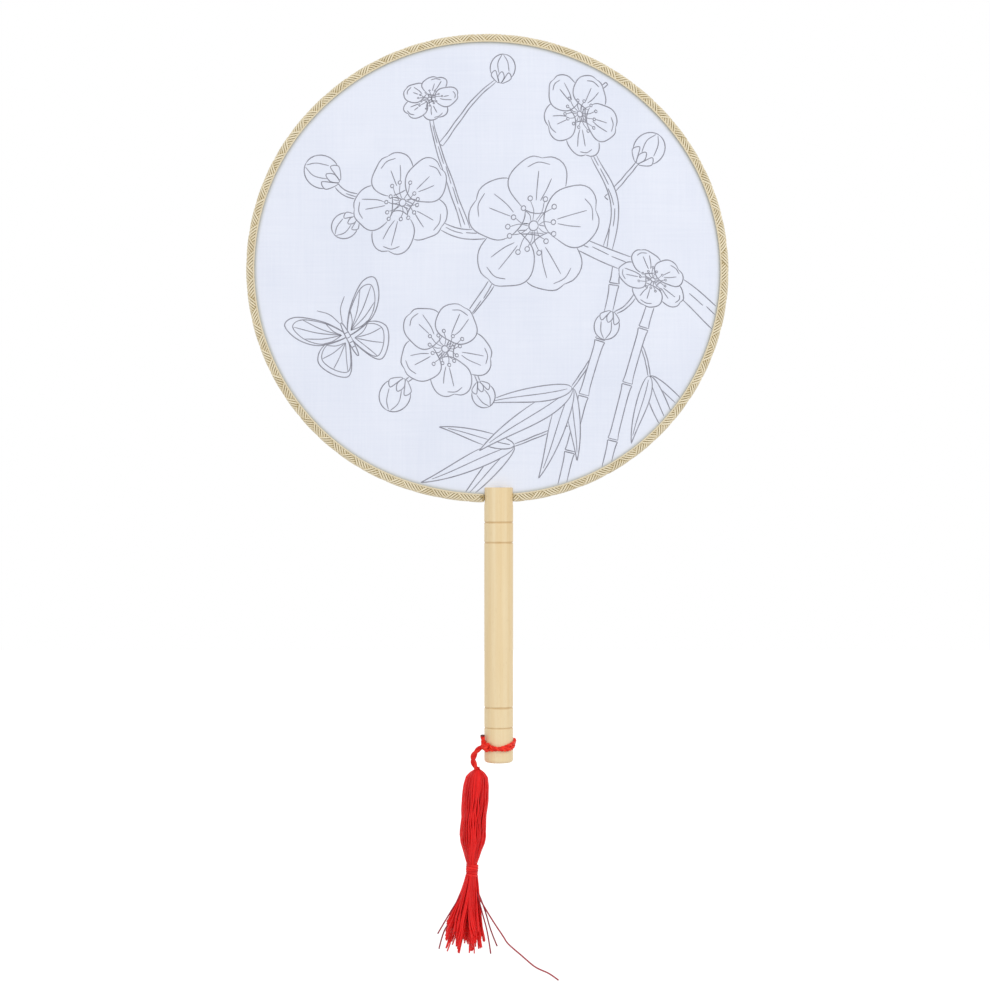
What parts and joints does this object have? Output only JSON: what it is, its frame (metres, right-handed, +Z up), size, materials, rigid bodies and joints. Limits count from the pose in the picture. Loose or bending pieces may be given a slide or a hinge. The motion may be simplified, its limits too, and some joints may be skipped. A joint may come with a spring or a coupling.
{
  "type": "round hand fan",
  "caption": "Round hand fan: silk faces stretched on a wire hoop edged with woven braid, on a turned wooden handle with a cord-tied tassel that swings.",
  "frame": {"origin": "on the handle's axis, in the middle of the grip", "axes": "+Z up along the handle to the head, -Y out of the printed face, +X to that face's right"},
  "size_m": [0.2508, 0.024, 0.4914],
  "materials": {
    "handle_wood": "turned and sanded, clear satin",
    "hoop_steel": "drawn wire",
    "face_silk": "fine plain weave, stretched flat",
    "gold_braid": "woven flat braid",
    "red_cord": "twisted cord, soft sheen",
    "red_thread": "twisted thread, soft sheen"
  },
  "bodies": {
    "fan": {"handle": "handle_wood", "hoop_wire": "hoop_steel", "front_silk": "face_silk", "back_silk": "face_silk", "rim_braid": "gold_braid"},
    "tie_loop": {"tie_cord": "red_cord", "tie_knot": "red_cord"},
    "hanger": {"hanging_cord": "red_cord"},
    "tassel": {"gather_knot": "red_cord", "tassel_head": "red_thread", "tassel_tie": "red_thread", "tassel_skirt": "red_thread", "stray_thread": "red_thread"}
  },
  "joints": [
    {"name": "loop_turn", "type": "hinge", "parent": "fan", "child": "tie_loop", "pos_m": [0, 0, -0.061], "axis": [0, 0, 1], "continuous": true},
    {"name": "cord_swing", "type": "hinge", "parent": "tie_loop", "child": "hanger", "pos_m": [-0.00867, -0.00434, -0.0626], "axis": [0, 1, 0], "range_deg": [-5, 75]},
    {"name": "tassel_swing", "type": "hinge", "parent": "hanger", "child": "tassel", "pos_m": [-0.01097, -0.00434, -0.076], "axis": [1, 0, 0], "range_deg": [-75, 75]}
  ]
}
